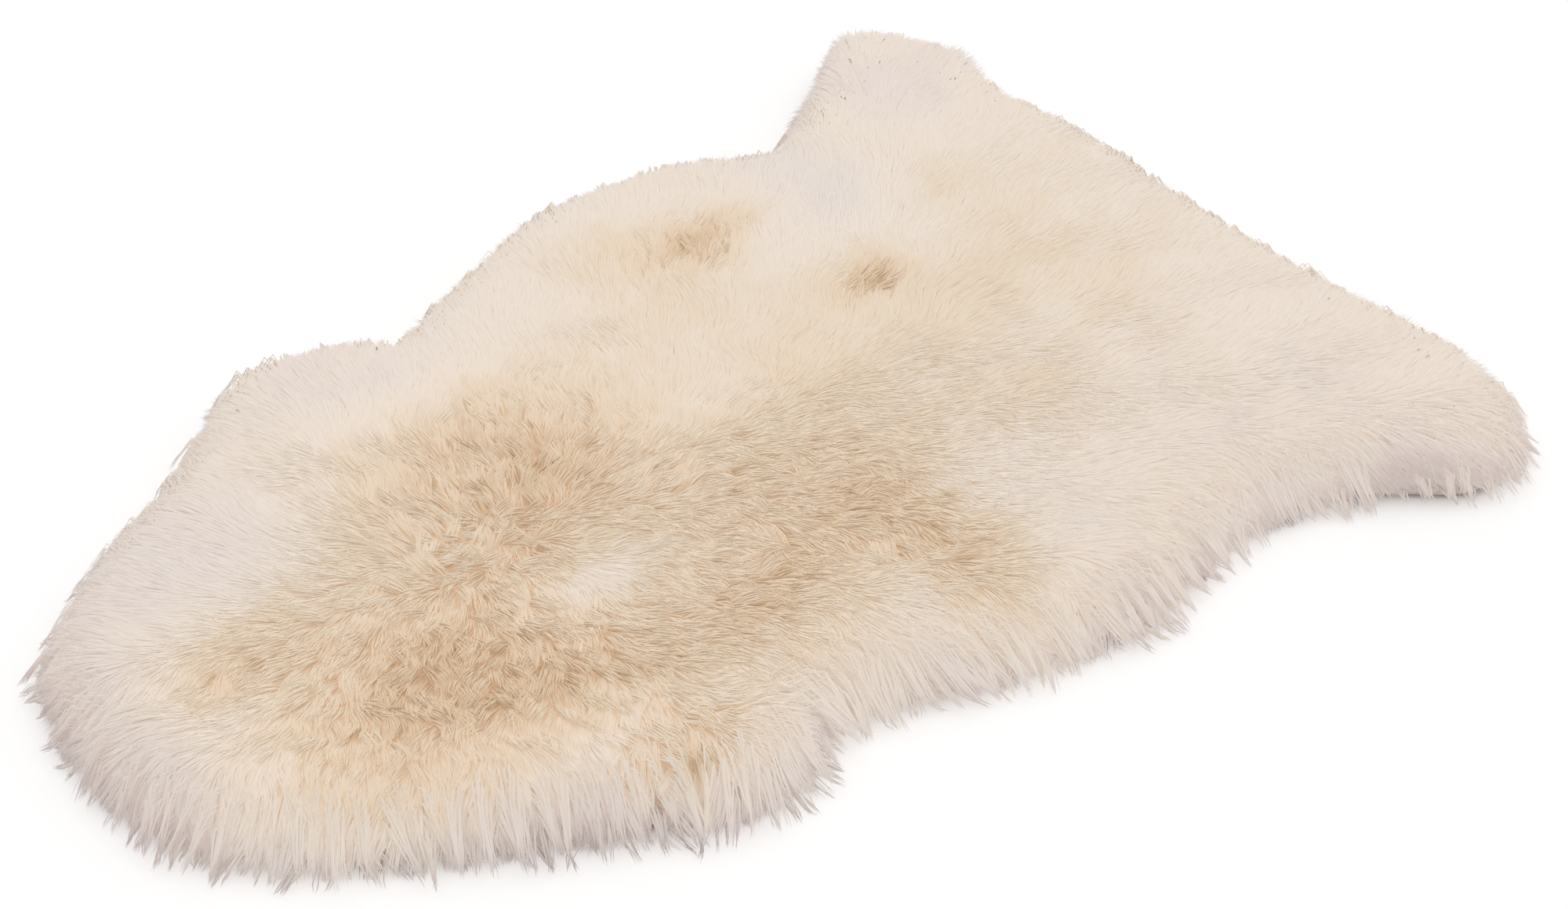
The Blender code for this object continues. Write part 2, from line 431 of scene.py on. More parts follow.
def mat_rings(edge):
    """The mat's sections: under its rim from the spine, round the rim, and over the top to the spine.

    A ring of the top has the height of the solid where that is full, less the room for the locks, plus lumps
    that grow with the tufts. Towards the rim that height drops to MAT_LOW as a quarter ellipse.
    """
    inward, reach = towards_spine(edge)
    whole_way = reach - SPINE_SLIT - MAT_TRIM
    on_skin = np.full(len(edge), SKIN_THICKNESS)
    rings = [(MAT_TRIM + share * whole_way, on_skin) for share in (1.0, 0.5)]
    rings.append((np.full(len(edge), MAT_TRIM + MAT_ROLL), on_skin))
    full_inset = np.minimum(FULL_HEIGHT_INSET, FULL_HEIGHT_REACH * reach)
    for share in np.linspace(0, 1, MAT_RINGS) ** MAT_CROWDING:
        inset_here = MAT_TRIM + share * whole_way
        points = edge + inset_here[:, None] * inward
        full = edge + np.maximum(inset_here, full_inset)[:, None] * inward
        body = read_map(top_map, full) - LOCK_ROOM
        lumpy = SMOOTH_LUMPS + TUFTED_LUMPS * patch_value(points, "tuft", PLAIN_TUFT)
        for seed, (size, rise) in enumerate(MAT_LUMPS):
            body += rise * lumpy * waves(points, size, seed)
        height = MAT_LOW + (body - MAT_LOW) * rounded((inset_here - MAT_TRIM) / MAT_RIM)
        rings.append((inset_here, height))
    return np.array([
        np.column_stack([edge + inset_here[:, None] * inward, height]) for inset_here, height in rings
    ])


mat_points = mat_rings(resampled(edge_of_wool, MAT_ROUND))
mat_mesh = laced_shell("wool_mat", mat_points)

# The colour of the wool, which every woolly piece shares. Its warmth runs from a pinkish grey, painted
# shade for the thin rim, through cream to tan, and its foot is painted deeper and yellower than its tip,
# as shade deep in the fleece.
WARMTH_STOPS = (
    (0.00, (0.640, 0.555, 0.535)),
    (0.14, (0.765, 0.685, 0.650)),
    (0.24, (0.817, 0.744, 0.695)),
    (0.42, (0.848, 0.768, 0.686)),
    (0.66, (0.812, 0.700, 0.565)),
    (0.85, (0.739, 0.593, 0.437)),
    (1.00, (0.603, 0.447, 0.292)),
)
# The foot's tint is painted shade, for the shade deep in the fleece.
FOOT_SHADE_TINT = (0.88, 0.69, 0.51)


def math_node(tree, operation, *inputs, clamp=False):
    """One Math node. Each of its inputs is a number to set or a socket to join."""
    node = tree.nodes.new("ShaderNodeMath")
    node.operation = operation
    node.use_clamp = clamp
    for socket, value in zip(node.inputs, inputs):
        if isinstance(value, float):
            socket.default_value = value
        else:
            tree.links.new(value, socket)
    return node.outputs[0]


def wool_colour_group():
    """The shader group: colour from Warmth, with painted shade by Depth towards the foot, where Height is 0.
    """
    group = bpy.data.node_groups.new("wool colour", "ShaderNodeTree")
    for socket, value in (("Warmth", 0.5), ("Height", 1.0), ("Depth", 0.5)):
        made = group.interface.new_socket(socket, in_out="INPUT", socket_type="NodeSocketFloat")
        made.default_value = value
    group.interface.new_socket("Color", in_out="OUTPUT", socket_type="NodeSocketColor")
    entry = group.nodes.new("NodeGroupInput").outputs
    leave = group.nodes.new("NodeGroupOutput")
    below = math_node(group, "SUBTRACT", 1.0, entry["Height"], clamp=True)
    amount = math_node(group, "MULTIPLY", below, entry["Depth"], clamp=True)
    foot = group.nodes.new("ShaderNodeMix")
    foot.data_type = "RGBA"
    foot.blend_type = "MULTIPLY"
    foot.inputs["B"].default_value = (*FOOT_SHADE_TINT, 1.0)
    group.links.new(colour_ramp(group, entry["Warmth"], WARMTH_STOPS), foot.inputs["A"])
    group.links.new(amount, foot.inputs["Factor"])
    group.links.new(foot.outputs["Result"], leave.inputs["Color"])
    return group


wool_colour = wool_colour_group()


def wool_colour_node(tree, shader, depth):
    """The wool colour group placed in a material and joined to its Base Color."""
    node = tree.nodes.new("ShaderNodeGroup")
    node.node_tree = wool_colour
    node.inputs["Depth"].default_value = depth
    tree.links.new(node.outputs["Color"], shader.inputs["Base Color"])
    return node


def attribute(tree, name):
    """The numbers stored on the mesh under this name."""
    node = tree.nodes.new("ShaderNodeAttribute")
    node.attribute_name = name
    return node.outputs["Fac"]


def mat_material():
    """Close wool: the mesh's warmth, varied a quarter each way by flecks, with a fibrous bump."""
    material, tree, shader = new_material("close wool", roughness=0.95)
    colour = wool_colour_node(tree, shader, depth=0.75)
    fleck = noise(tree, scale=260.0, detail=3.0)
    shifted = math_node(tree, "SUBTRACT", attribute(tree, "warmth"), 0.25)
    tree.links.new(math_node(tree, "MULTIPLY_ADD", fleck, 0.5, shifted), colour.inputs["Warmth"])
    tree.links.new(attribute(tree, "height"), colour.inputs["Height"])
    add_bump(tree, shader, fleck, strength=0.5, distance=0.002)
    shader.inputs["Sheen Weight"].default_value = 0.2
    return material


def store(mesh, name, values):
    """Stores one number a point on a mesh, for its material to read."""
    mesh.attributes.new(name, "FLOAT", "POINT").data.foreach_set("value", values.astype(np.float32))


mat_places = mat_points.reshape(-1, 3)
mat_rim = np.clip(1 - read_map(inset_map, mat_places) / MAT_RIM, 0, 1)
mat_loose = np.clip(2 * patch_value(mat_places, "tuft", PLAIN_TUFT), 0, 1)
# Painted shade: the mat's rim is painted greyer.
store(mat_mesh, "warmth", patch_value(mat_places, "warmth", PLAIN_WARMTH) - MAT_RIM_SHADE * mat_rim)
# Painted shade: where the wool is loose, the mat between the tufts gets more of the foot's painted shade.
store(mat_mesh, "height", SMOOTH_PALENESS + (TUFTED_PALENESS - SMOOTH_PALENESS) * mat_loose)
mat = new_piece(mat_mesh, "wool", mat_material())
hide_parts("sheepskin")


# ------------------------------------------------------------------------------
# The locks: the outer wool, in four pieces from the neck to the rump. Each is a slim closed blade of four
# faces that leaves the mat, leans the way the wool lies, and draws together with its neighbours to a tuft.

LOCK_PIECES = ("locks_neck", "locks_shoulders", "locks_loin", "locks_rump")
LOCKS_A_PIECE = 49000
LOCKS = LOCKS_A_PIECE * len(LOCK_PIECES)
LOCK_SPARES = 1.1  # places tried for each lock, since some lie too low
LOWEST_LOCK = 0.014  # below this the edge is left to the wisps
LOCK_LENGTH = 0.025
LOCK_LENGTH_SPREAD = (0.80, 1.15)
SHORTEST_LOCK = 0.012
PAST_EDGE = 0.003  # how far a lock at the rim may reach past the edge of the wool
UPRIGHT_HEIGHT = 0.0058  # a lock that stands up reaches no further out of the mat
RIM_HEIGHT = 0.020  # and this much further at the rim
LOCK_WIDTH = 0.00050  # half the width of a lock at its widest
WIDTH_SPREAD = (0.75, 1.25)
LOCK_THICKNESS = 0.00014
LOCK_BOW = 0.11  # how far the middle of a loose lock stands out from root to tip, by its length
ROOT_DEPTH = 0.0045
FLOOR_GAP = 0.0006

# Some measures differ over the fleece: a plain value, what loose tufts add to it, and what the rim adds.
Measure = namedtuple("Measure", "plain tufted rim")
LENGTH_SHARE = Measure(0.95, -0.30, 0.25)  # of LOCK_LENGTH
LEAN_SPREAD = Measure(1.0, 3.5, 2.0)  # how unevenly the locks lean, in degrees
GATHER = Measure(0.10, 0.15, 0.35)  # how far a tip moves towards the middle of its tuft
WIDEST = Measure(0.62, 0.00, -0.20)  # where along its length a lock is widest
TIP_STRAY = Measure(0.0003, 0.0008, 0.0004)
FINE_SWIRL = Measure(0.08, 0.30, 0.00)  # how far the lie of the wool swings, in radians
TONE_SPREAD = Measure(0.006, 0.030, 0.000)  # how much one lock differs in warmth from the next

LEAN = 58  # how many degrees a lock leans from the way out where the wool has no clear lie
LYING_LEAN = 20  # and how much further where it has
RIM_LEAN = 18  # and how much less at the rim
TUFT_LEAN = 6  # and by how much the loose tufts differ in it
LEAN_LIMITS = (20, 81)
RIM_DROOP = 0.005  # how far the tips sink at the rim
TUFT_SIZE = 0.0095  # spacing of the tufts
LOW_TUFT = 0.9  # the length of the shortest tufts, by that of their locks
TALL_TUFT = 0.2  # and how much longer the tallest loose ones are
FULL_FURTHER_IN = 0.03  # how far in from a place at the rim the full height is read
TUFT_CELLS = 256  # the tufts repeat after this many each way, beyond the pelt
TUFT_INSIDE = (0.08, 0.92)  # where in its square the middle of a tuft may be
TUFT_SWIRL = 2.0  # how far round a loose tuft may lie from its neighbours, in radians
BROAD_SWIRL = 0.35  # how far the wool swings in broad waves
CROWN_SWIRL = 1.6  # and at the crown, where it has no clear way to lie
CROWN_WANDER = 0.9  # how strongly the tufts at the crown lie each its own way
LOOSE = 1.6  # locks are fully loose once their tuft value reaches one over this

RIM_DEPTH = 0.055  # how far in from the edge the wool begins to turn outwards
RIM_LIFT = 0.8  # how far the shading of the rim's locks is turned upwards
HANGING_PLACE = (-0.32, -0.24)  # where it isn't, because the wool hangs straight down
HANGING_REACH = 0.22
UPPER_SOFTNESS = 0.975  # how far a lock's upper faces are shaded the way the fleece faces
LOOSE_SOFTNESS = 0.08  # and how much less where it is loose
UNDER_SOFTNESS = 0.95  # the same for its lower faces, short of turning their shading over
LEAST_FACING = 0.05  # shading leans no further from the face than this

# The greyer colour towards the edge is painted shade of the thin rim, which faces away from the light above.
EDGE_DEPTH = 0.034  # how far in from the edge the wool begins to be painted grey, as shade
TIP_GREY_DEPTH = 0.016  # and the same for the tips
EDGE_SHADE = 0.10  # how much less warm the wool is painted at the edge, as shade
RIM_SHADE = 0.04  # and over the whole rim
TIP_SHADE = 0.40  # and at a tip that reaches the edge
UNDER_SHADE_WARMTH = 0.09  # how much warmer the under side of a loose lock is painted, as warm shade
TUFT_TONE = 0.10  # by how much loose tufts differ in warmth
TONE_WAVES = ((0.040, 51, 0.02), (0.110, 53, 0.03))  # size, seed and strength of its slow changes
BETWEEN_TUFT_SHADE = 0.15  # how much warmer a loose lock is painted between tufts than within one, as shade
BETWEEN_FROM = 0.4
PARTING_SIZE = 0.009  # spacing of the painted tan shade in the partings of loose wool
PARTING_FROM = 0.75  # the height in their pattern where they begin
PARTING_SHADE = 0.55
SMOOTH_FOOT = 0.86  # where from the foot's painted shade to the tip colour a lock starts, in smooth wool
LOOSE_FOOT = 0.02  # and in loose wool
MAP_STRIP = 0.0015  # half the width of a lock's strip on its own map
MAP_TOP = 0.999

Lock = namedtuple("Lock", "root middle tip out width soft warmth tip_warmth under_warmth foot")


def unit(vectors):
    """Each vector at a length of one."""
    return vectors / np.maximum(np.linalg.norm(vectors, axis=-1, keepdims=True), 1e-9)


def eased_rim(place):
    """How far each place is into the rim, from 0 at RIM_DEPTH to 1 at the edge, with gentle ends."""
    rim = np.clip(1 - read_map(inset_map, place) / RIM_DEPTH, 0, 1)
    return rim * rim * (3 - 2 * rim)


def measured(measure, tuft, rim):
    """A measure at each place: its plain value, plus its tufted part by tuft, plus its rim part by rim."""
    return measure.plain + measure.tufted * tuft + measure.rim * rim


def scattered(mesh, count, draw):
    """Places spread evenly over the top of a mesh of quads, with the way out of the surface at each.

    The quads that face up are weighed by area, the places are spaced evenly along the running total with a
    small random shift, and each lands at a random spot in its quad, between the normals of its corners.
    """
    corners, normals = point_vectors(mesh, "co"), point_vectors(mesh, "normal")
    quads = np.empty(len(mesh.polygons) * 4, np.int32)
    mesh.polygons.foreach_get("vertices", quads)
    quads = quads.reshape(-1, 4)
    a, b, c, d = (corners[quads[:, corner]] for corner in range(4))
    across = np.cross(c - a, d - b)
    area = np.linalg.norm(across, axis=1) / 2
    area[across[:, 2] < 0.1 * area] = 0
    total = np.cumsum(area)
    pick = (np.arange(count) + draw.uniform(0, 1, count)) / count * total[-1]
    quad = np.minimum(np.searchsorted(total, pick), len(area) - 1)
    s, t = draw.uniform(0, 1, (2, count, 1))
    weights = ((1 - s) * (1 - t), s * (1 - t), s * t, (1 - s) * t)
    place = sum(weight * corners[quads[quad, corner]] for corner, weight in enumerate(weights))
    out = sum(weight * normals[quads[quad, corner]] for corner, weight in enumerate(weights))
    return place, unit(out)


def nearest_tuft(chart, size, seed):
    """For places on a flat chart: the offset to the middle of the nearest tuft, and that tuft's number.

    Tuft middles are a square lattice of this size, each moved about at random within its square.
    """
    table = np.random.default_rng(seed).uniform(*TUFT_INSIDE, (TUFT_CELLS, TUFT_CELLS, 2))
    home = np.floor(chart / size).astype(int)
    best = np.full(len(chart), np.inf)
    offset = np.zeros_like(chart)
    number = np.zeros(len(chart), int)
    for step_x in (-1, 0, 1):
        for step_y in (-1, 0, 1):
            cell = home + (step_x, step_y)
            wrapped = cell % TUFT_CELLS
            middle = (cell + table[wrapped[:, 0], wrapped[:, 1]]) * size
            gap = middle - chart
            distance = (gap**2).sum(axis=1)
            closer = distance < best
            best = np.where(closer, distance, best)
            offset = np.where(closer[:, None], gap, offset)
            number = np.where(closer, wrapped[:, 0] * TUFT_CELLS + wrapped[:, 1], number)
    return offset, number


def tuft_draws(number, least, most, seed):
    """Three random numbers for each tuft, the same for all the wool in it."""
    return np.random.default_rng(seed).uniform(least, most, (TUFT_CELLS**2, 3))[number].T


def flat(offsets):
    """Offsets on the floor as vectors, with no height."""
    return np.column_stack([offsets, np.zeros(len(offsets))])


def lifted(out, place, share):
    """The way out of the fleece, turned upwards by a share of RIM_LIFT, but not at HANGING_PLACE."""
    gap = ((place[:, :2] - HANGING_PLACE) ** 2).sum(axis=1)
    amount = RIM_LIFT * share * (1 - np.exp(-gap / HANGING_REACH**2))
    return unit(out + amount[:, None] * np.array([0.0, 0.0, 1.0]))


def grown_locks(place, out, draw):
    """The locks that grow at these places, given the way out of the mat at each.

    A lock leans over from the way out to the way the wool lies, which swirls a little. Its tip is its
    length along that slope, plus a part of the way to the middle of its tuft, plus a stray. Its root goes
    into the mat in line with the tip. Its middle lies on that line, or is bowed out where the wool is loose.
    """
    count = len(place)
    lie = np.column_stack([read_map(lie_x_map, place), read_map(lie_y_map, place)])
    clear = np.clip(np.linalg.norm(lie, axis=1), 0, 1)
    tuft = np.clip(patch_value(place, "tuft", PLAIN_TUFT), 0, 1)
    loose = np.clip(LOOSE * tuft, 0, 1)
    rim = eased_rim(place)
    inset_here = read_map(inset_map, place)

    # Round the rim, the tufts' chart runs on down the surface by how far a place lies below full height.
    full = read_map(top_map, place[:, :2] - lie * FULL_FURTHER_IN)
    drop = np.clip(full - LOCK_ROOM - place[:, 2], 0, None)
    offset, number = nearest_tuft(place[:, :2] + lie * drop[:, None], TUFT_SIZE, seed=31)
    tuft_size, tuft_turn, tuft_tone = tuft_draws(number, 0, 1, seed=41)
    from_middle = np.clip(np.linalg.norm(offset, axis=1) / TUFT_SIZE, 0, 1)

    wander = 2 * np.pi * tuft_turn
    lie = lie + CROWN_WANDER * (1 - clear)[:, None] * np.column_stack([np.cos(wander), np.sin(wander)])
    swirl = BROAD_SWIRL * waves(place, 0.075, seed=21)
    swirl += measured(FINE_SWIRL, tuft, rim) * waves(place, 0.028, seed=22)
    swirl += TUFT_SWIRL * tuft * (tuft_turn - 0.5)
    swirl += CROWN_SWIRL * (1 - clear) * waves(place, 0.03, seed=23)
    turned = flat(np.column_stack([
        lie[:, 0] * np.cos(swirl) - lie[:, 1] * np.sin(swirl),
        lie[:, 0] * np.sin(swirl) + lie[:, 1] * np.cos(swirl),
    ]))
    along = unit(turned - (turned * out).sum(axis=1)[:, None] * out)

    length = LOCK_LENGTH * measured(LENGTH_SHARE, tuft, rim) * draw.uniform(*LOCK_LENGTH_SPREAD, count)
    length *= LOW_TUFT + TALL_TUFT * tuft_size * tuft
    lean = LEAN + LYING_LEAN * clear - RIM_LEAN * rim + TUFT_LEAN * (tuft_size - 0.5) * tuft
    lean += measured(LEAN_SPREAD, tuft, rim) * draw.normal(0, 1, count)
    lean = np.radians(np.clip(lean, *LEAN_LIMITS))[:, None]
    length = np.minimum(length, np.maximum(inset_here + PAST_EDGE, SHORTEST_LOCK))
    length = np.minimum(length[:, None], (UPRIGHT_HEIGHT + RIM_HEIGHT * rim[:, None]) / np.cos(lean))
    gathered = flat(offset)
    gathered -= (gathered * out).sum(axis=1)[:, None] * out

    tip = place + length * (np.cos(lean) * out + np.sin(lean) * along)
    tip += measured(GATHER, tuft, rim)[:, None] * gathered
    tip += measured(TIP_STRAY, tuft, rim)[:, None] * draw.normal(0, 1, (count, 3))
    tip[:, 2] -= RIM_DROOP * rim
    root = place - ROOT_DEPTH * unit(tip - place)
    middle = root + measured(WIDEST, tuft, rim)[:, None] * (tip - root)
    middle += LOCK_BOW * loose[:, None] * length * out

    warmth = patch_value(place, "warmth", PLAIN_WARMTH)
    for size, seed, strength in TONE_WAVES:
        warmth += strength * waves(place, size, seed)
    warmth += TUFT_TONE * tuft * (tuft_tone - 0.5)
    warmth += measured(TONE_SPREAD, tuft, rim) * draw.normal(0, 1, count)
    # Painted shade: loose locks between tufts and in partings are painted warmer, for the tan shade there.
    warmth += BETWEEN_TUFT_SHADE * tuft * (from_middle - BETWEEN_FROM)
    warmth += PARTING_SHADE * tuft * np.clip(waves(place, PARTING_SIZE, seed=52) - PARTING_FROM, 0, 1)
    # Painted shade: the wool is painted greyer over the rim, near the edge, and at tips that reach the edge.
    warmth -= RIM_SHADE * rim + EDGE_SHADE * np.clip(1 - inset_here / EDGE_DEPTH, 0, 1)
    tip_warmth = warmth - TIP_SHADE * np.clip(1 - read_map(inset_map, tip) / TIP_GREY_DEPTH, 0, 1)
    return Lock(
        root,
        middle,
        tip,
        out=lifted(out, place, np.clip(1 - inset_here / RIM_DEPTH, 0, 1)),
        width=LOCK_WIDTH * draw.uniform(*WIDTH_SPREAD, count),
        soft=UPPER_SOFTNESS - LOOSE_SOFTNESS * loose,
        warmth=warmth,
        tip_warmth=tip_warmth,
        under_warmth=UNDER_SHADE_WARMTH * loose,
        foot=SMOOTH_FOOT + (LOOSE_FOOT - SMOOTH_FOOT) * loose,
    )


def facing_of(points, faces):
    """The unit normal of each triangle."""
    a, b, c = (points[faces[:, corner]] for corner in range(3))
    return unit(np.cross(b - a, c - a))


def add_map(mesh, chart):
    """Gives a mesh its own map, from a place on it for every corner of every face."""
    layer = mesh.uv_layers.new(name="OFBake")
    layer.uv.foreach_set("vector", chart.astype(np.float32).ravel())


def blade_mesh(name, locks):
    """Slim closed blades as one mesh: each is a root, a left and a right corner, and a tip.

    The two corners stand LOCK_THICKNESS above the middle, which gives a blade two upper and two lower faces.
    The upper ones are shaded mostly the way the fleece faces, and the lower ones between that and their own.
    """
    count = len(locks.root)
    length = locks.tip - locks.root
    side = unit(np.cross(length, locks.out))
    above = unit(np.cross(side, length))
    points = np.empty((count, 4, 3))
    points[:, 0] = locks.root
    points[:, 1] = locks.middle - locks.width[:, None] * side
    points[:, 2] = locks.middle + locks.width[:, None] * side
    points[:, 3] = locks.tip
    points[:, :, 2] = np.maximum(points[:, :, 2], FLOOR_GAP)
    points[:, 1:3] += LOCK_THICKNESS * above[:, None]
    pattern = np.array([[0, 2, 1], [3, 1, 2], [0, 1, 3], [0, 3, 2]])
    faces = (np.arange(count)[:, None, None] * 4 + pattern).reshape(-1, 3)
    points = points.reshape(-1, 3)
    mesh = bpy.data.meshes.new(name)
    fill_mesh(mesh, points, faces)

    facing = facing_of(points, faces).reshape(count, 4, 1, 3)
    out = locks.out[:, None, None]
    soft = locks.soft[:, None, None, None]
    shaded = np.repeat(unit(facing + UNDER_SOFTNESS * out), 3, axis=2)
    upper = soft * out + (1 - soft) * facing[:, :2]
    turned_off = np.minimum((upper * facing[:, :2]).sum(axis=3, keepdims=True) - LEAST_FACING, 0)
    shaded[:, :2] = unit(upper - turned_off * facing[:, :2])
    mesh.normals_split_custom_set(shaded.reshape(-1, 3))

    across = np.stack([locks.warmth, locks.warmth, locks.warmth, locks.tip_warmth], axis=1)
    across = np.clip(across, MAP_STRIP, 1 - MAP_STRIP) + MAP_STRIP * np.array([0, -1, 1, 0])
    # The foot colour that the chart runs up from is painted shade.
    foot = locks.foot[:, None]
    upward = foot + (MAP_TOP - foot) * np.array([0, 0.6, 0.6, 1])
    chart = np.stack([across, upward], axis=-1).reshape(-1, 2)[faces].reshape(count, 4, 3, 2)
    # Painted shade: the lower faces of loose locks are painted warmer.
    chart[:, 2:, :, 0] = np.clip(chart[:, 2:, :, 0] + locks.under_warmth[:, None, None], 0, 1)
    add_map(mesh, chart)
    return mesh


def lock_material():
    """Fine wool: its own map holds a lock's warmth across, and its height from foot to tip upwards."""
    material, tree, shader = new_material("fine wool", roughness=0.85)
    colour = wool_colour_node(tree, shader, depth=0.6)
    chart = tree.nodes.new("ShaderNodeUVMap")
    chart.uv_map = "OFBake"
    split = tree.nodes.new("ShaderNodeSeparateXYZ")
    tree.links.new(chart.outputs["UV"], split.inputs["Vector"])
    tree.links.new(split.outputs["X"], colour.inputs["Warmth"])
    tree.links.new(split.outputs["Y"], colour.inputs["Height"])
    shader.inputs["Sheen Weight"].default_value = 0.08
    shader.inputs["Sheen Roughness"].default_value = 0.6
    shader.inputs["Specular IOR Level"].default_value = 0.2
    return material


lock_draw = np.random.default_rng(7)
place, out = scattered(mat_mesh, round(LOCKS * LOCK_SPARES), lock_draw)
high_enough = place[:, 2] > LOWEST_LOCK
place, out = place[high_enough], out[high_enough]
chosen = lock_draw.permutation(len(place))[:LOCKS]
chosen = chosen[np.argsort(place[chosen, 0])]
all_locks = grown_locks(place[chosen], out[chosen], lock_draw)
fine_wool = lock_material()
locks = []
for number, name in enumerate(LOCK_PIECES):
    part = slice(number * LOCKS_A_PIECE, (number + 1) * LOCKS_A_PIECE)
    mesh = blade_mesh(name, Lock(*(values[part] for values in all_locks)))
    locks.append(new_piece(mesh, "wool", fine_wool))
    locks[-1].visible_shadow = False  # light passes through real wool, so locks don't darken one another


# ------------------------------------------------------------------------------
# The wisps: the longest wool, which hangs over the edge in pointed tufts and nearly reaches the floor. Each
# is a slim closed tube. They are longest on the right side, where the rug has been combed out.

WISPS = 12500
WISP_SPARES = 5  # places tried for each wisp, since most lie too far in
WISP_FROM = 0.044  # wisps grow from about this far in from the edge of the wool
WISP_FROM_SPREAD = (0.55, 1.25)
WISP_LENGTH = 0.036
PLAIN_LENGTH = 0.72  # share of that length in uncombed wool
COMBED_LENGTH = 0.42  # and how much more where it is combed out
TUFT_LENGTH = 0.22  # and by how much tufts differ in it
WISP_LENGTH_SPREAD = (0.8, 1.1)
SHORT_OF_EDGE = 0.006  # how far short of the wool's edge they end
COMBED_PAST = 0.011  # how much further they reach where it is combed out
TUFT_PAST = 0.012  # and by how much tufts differ in it
COMBED_PLACE = (-0.10, -0.30)  # the middle of the combed out side
COMBED_REACH = 0.42
WISP_WIDTH = 0.00055
WISP_RIDGE = 0.7  # how high a wisp's ridge stands, by its half width
WISP_TAPER = 0.8  # how wide its second ring is, by its first
WISP_ROOT_DEPTH = 0.003
WISP_STRAY = 0.0005
WISP_TUFT = 0.0105  # spacing of the pointed tufts
WISP_SPRAWL = 1.6  # how far their chart runs down the rim, by the height of a place
WISP_GATHER = 0.95  # how far a tip moves to the middle of its tuft, at the most
WISP_GATHER_SPREAD = (0.55, 1.0)
WISP_GATHER_OUT = 0.5  # how much of that is outwards, by how much is sideways
WISP_WAVE_TURN = 0.30  # how far wisps turn aside in broad waves, in radians
WISP_TUFT_TURN = 0.28  # and tuft by tuft
WISP_FOOT = 0.75  # where from the foot's painted shade to the tip colour a wisp starts
WISP_TIP_SHADE = 0.24  # how much less warm its tip is painted, as shade
NECK_TIP_SHADE = 0.8  # and how much more so on the neck
NECK_GREYS_FROM = -0.10  # where that begins, along the pelt
NECK_GREYS_OVER = 0.15
WISP_TUFT_TONE = 0.06
WISP_TONE_SPREAD = 0.02
UPPER_TURN = 3.0  # how much more a wisp's upper faces are shaded the way the fleece faces

# How a wisp bends. For each of its places past the root: how far along its length it is, how far it stands
# out, how much of the gathering it has taken up, and how far it has dropped towards the floor.
Bend = namedtuple("Bend", "ahead out gathered drop")
WISP_BENDS = (
    Bend(0.34, 0.15, 0.35, 0.00),
    Bend(0.68, 0.10, 0.75, 0.40),
    Bend(1.00, 0.00, 1.00, 0.70),
)


def grown_wisps(place, out, draw):
    """The four places of a wisp from each root, and how warm its foot and its tip are.

    Each place is the root, plus its shares of the length ahead and outwards, of the way to the middle of the
    tuft, and of the fall to the floor, as WISP_BENDS says.
    """
    count = len(place)
    lie = unit(np.column_stack([read_map(lie_x_map, place), read_map(lie_y_map, place)]))
    beside = np.column_stack([-lie[:, 1], lie[:, 0]])
    combed = np.exp(-((place[:, :2] - COMBED_PLACE) ** 2).sum(axis=1) / COMBED_REACH**2)
    inset_here = read_map(inset_map, place)
    chart = place[:, :2] + lie * (place[:, 2:3] * WISP_SPRAWL)
    offset, number = nearest_tuft(chart, WISP_TUFT, seed=61)
    tuft_turn, tuft_size, tuft_tone = tuft_draws(number, -1, 1, seed=71)

    turn = (WISP_WAVE_TURN * waves(place, 0.09, seed=81) + WISP_TUFT_TURN * tuft_turn)[:, None]
    ahead = flat(lie * np.cos(turn) + beside * np.sin(turn))
    length = WISP_LENGTH * (PLAIN_LENGTH + COMBED_LENGTH * combed) * (1 + TUFT_LENGTH * tuft_size)
    length *= draw.uniform(*WISP_LENGTH_SPREAD, count)
    furthest = inset_here - SHORT_OF_EDGE + COMBED_PAST * combed + TUFT_PAST * tuft_size
    length = np.minimum(length, furthest)[:, None]
    sideways = (offset * beside).sum(axis=1)[:, None] * beside
    outwards = (offset * lie).sum(axis=1)[:, None] * lie
    to_middle = flat(sideways + WISP_GATHER_OUT * outwards)
    gather = WISP_GATHER * draw.uniform(*WISP_GATHER_SPREAD, (count, 1)) * to_middle
    fall = np.clip(place[:, 2:3], 0, None) * np.array([0.0, 0.0, -1.0])

    line = np.empty((count, 4, 3))
    line[:, 0] = place - WISP_ROOT_DEPTH * out
    for step, bend in enumerate(WISP_BENDS, start=1):
        line[:, step] = place + length * (bend.ahead * ahead + bend.out * out)
        line[:, step] += bend.gathered * gather + bend.drop * fall
    line[:, 1:] += draw.normal(0, WISP_STRAY, (count, 3, 3))

    warmth = patch_value(place, "warmth", PLAIN_WARMTH)
    # Painted shade: wisps are painted greyer near the edge, and their tips greyer still.
    warmth -= EDGE_SHADE * np.clip(1 - inset_here / EDGE_DEPTH, 0, 1)
    warmth += WISP_TUFT_TONE * tuft_tone + draw.normal(0, WISP_TONE_SPREAD, count)
    neck = np.clip((NECK_GREYS_FROM - place[:, 0]) / NECK_GREYS_OVER, 0, 1)
    return line, warmth, warmth - WISP_TIP_SHADE * (1 + NECK_TIP_SHADE * neck)


